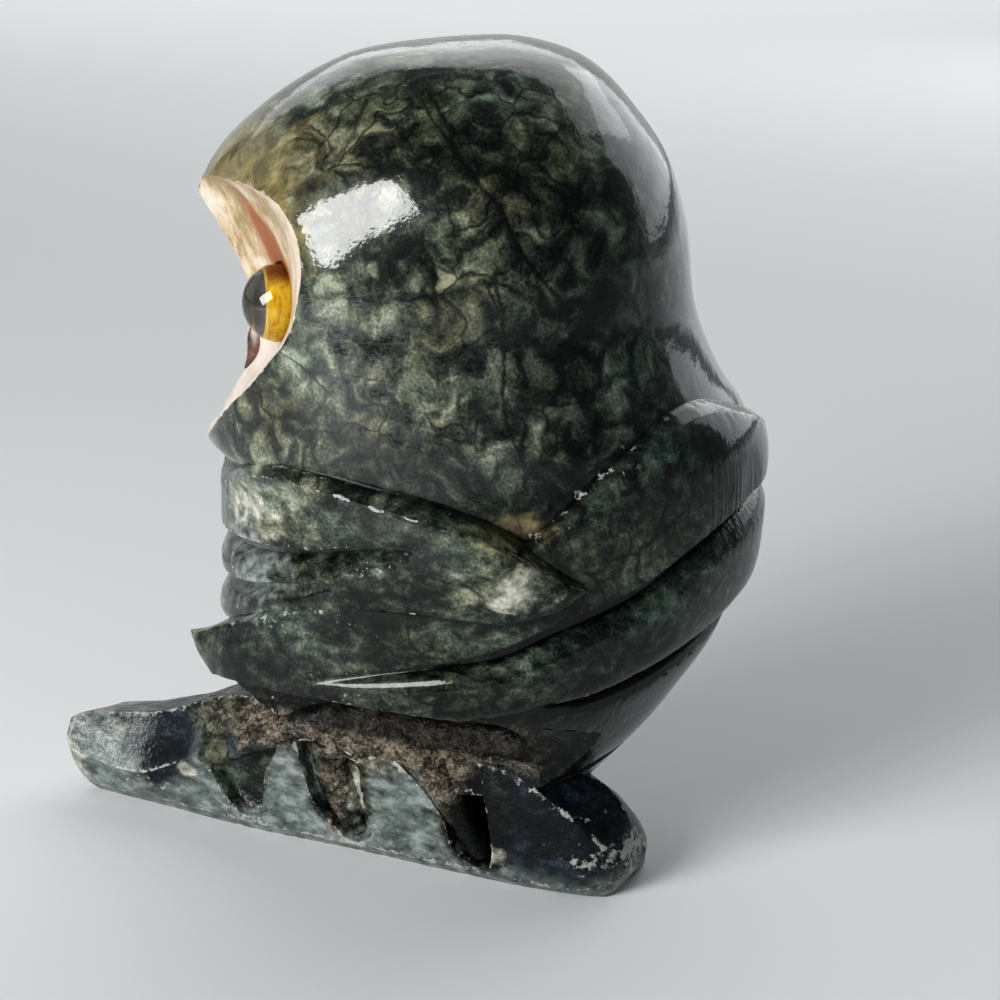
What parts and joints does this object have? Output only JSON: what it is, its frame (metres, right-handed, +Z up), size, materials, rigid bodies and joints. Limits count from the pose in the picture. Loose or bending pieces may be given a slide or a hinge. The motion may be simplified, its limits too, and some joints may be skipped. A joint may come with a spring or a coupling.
{
  "type": "owl figurine",
  "caption": "Carved and polished stone owl with crossed wings and glass eyes, perched on a short log of the same stone.",
  "frame": {"origin": "the middle of the piece's footprint box, on the surface it stands on", "axes": "+Z up; the log runs along X and the breast faces -Y, with the head turned towards -X"},
  "size_m": [0.0906, 0.0628, 0.102],
  "materials": {
    "polished_stone": "gloss",
    "eye_glass": "gloss"
  },
  "bodies": {
    "root": {"carved_owl": "polished_stone", "left_eye": "eye_glass", "right_eye": "eye_glass"}
  },
  "joints": []
}
